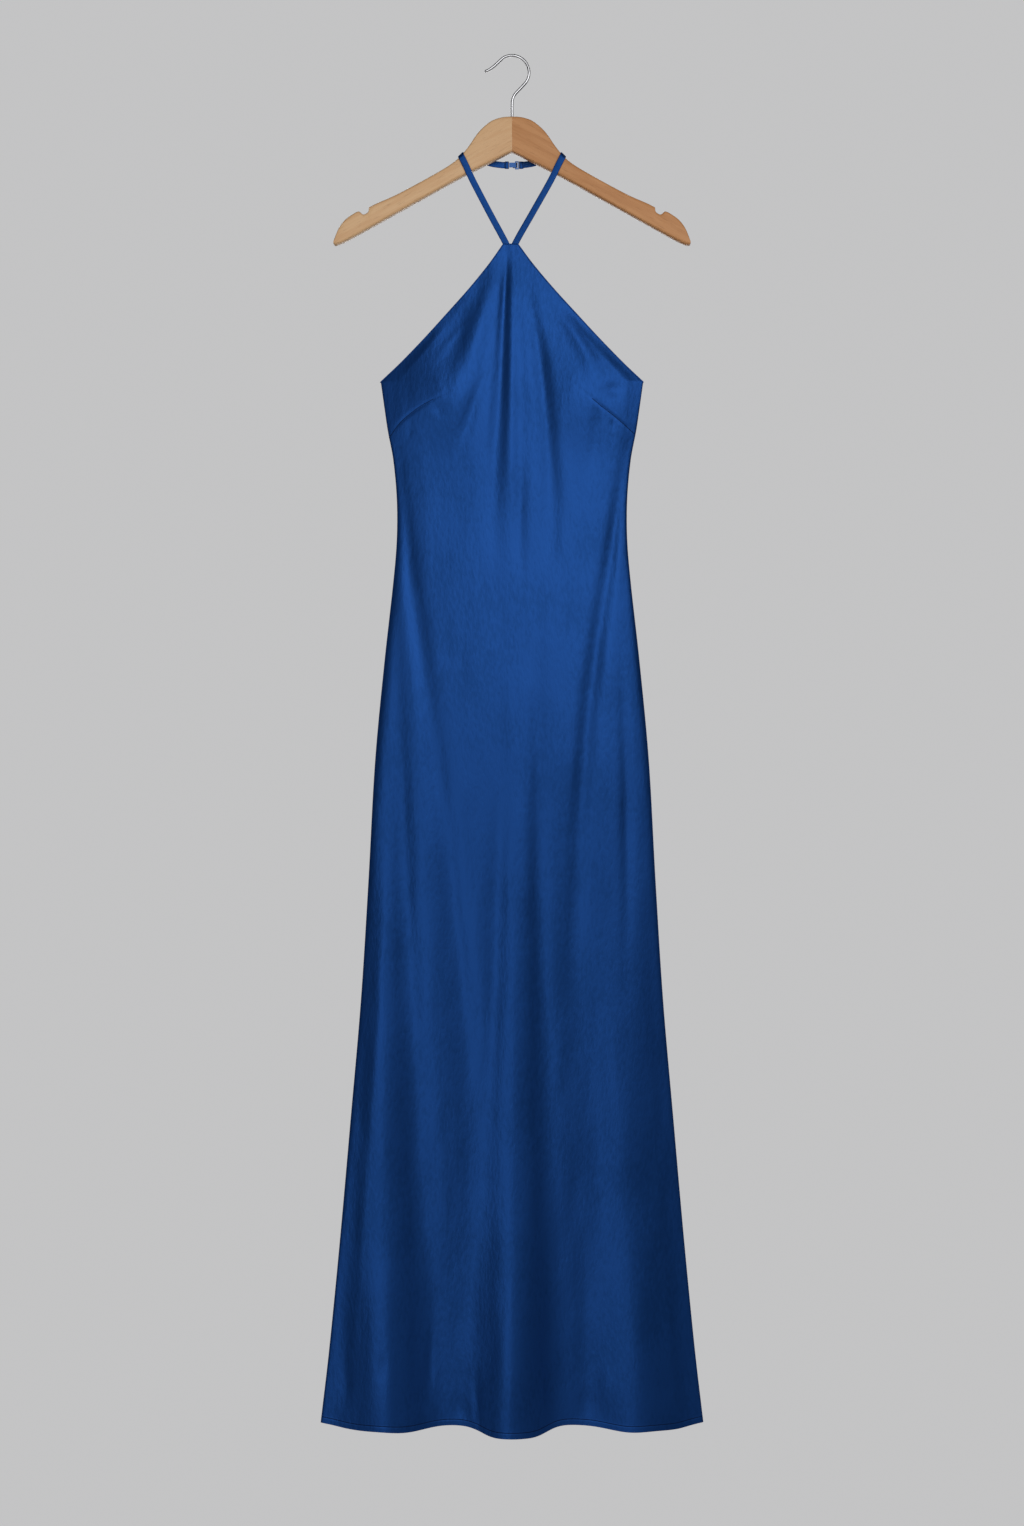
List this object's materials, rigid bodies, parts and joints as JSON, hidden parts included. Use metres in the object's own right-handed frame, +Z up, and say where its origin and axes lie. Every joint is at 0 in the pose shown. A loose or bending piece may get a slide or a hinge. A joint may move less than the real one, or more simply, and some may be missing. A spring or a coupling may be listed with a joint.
{
  "type": "halter dress on a wooden hanger",
  "caption": "Long bias-cut satin halter dress with narrow straps that fasten at the nape, hanging open and nearly flat on a shaped wooden hanger with a wire hook.",
  "frame": {"origin": "inside of the hanger hook's crown, where the rail or peg that holds it bears", "axes": "+Z up, the front of the dress faces -Y, +X is the viewer's right"},
  "size_m": [0.4782, 0.0646, 1.7185],
  "materials": {
    "satin": "smooth satin sheen",
    "wood_light": "clear satin varnish",
    "wood_dark": "clear satin varnish",
    "fastening": "dyed metal",
    "chrome": "polished"
  },
  "bodies": {
    "root": {"front_panel": "satin", "back_panel": "satin", "strap_left": "satin", "strap_right": "satin", "nape_hook": "fastening", "nape_bar": "fastening", "hanger_arm_left": "wood_light", "hanger_arm_right": "wood_dark", "hanger_hook": "chrome"}
  },
  "joints": []
}
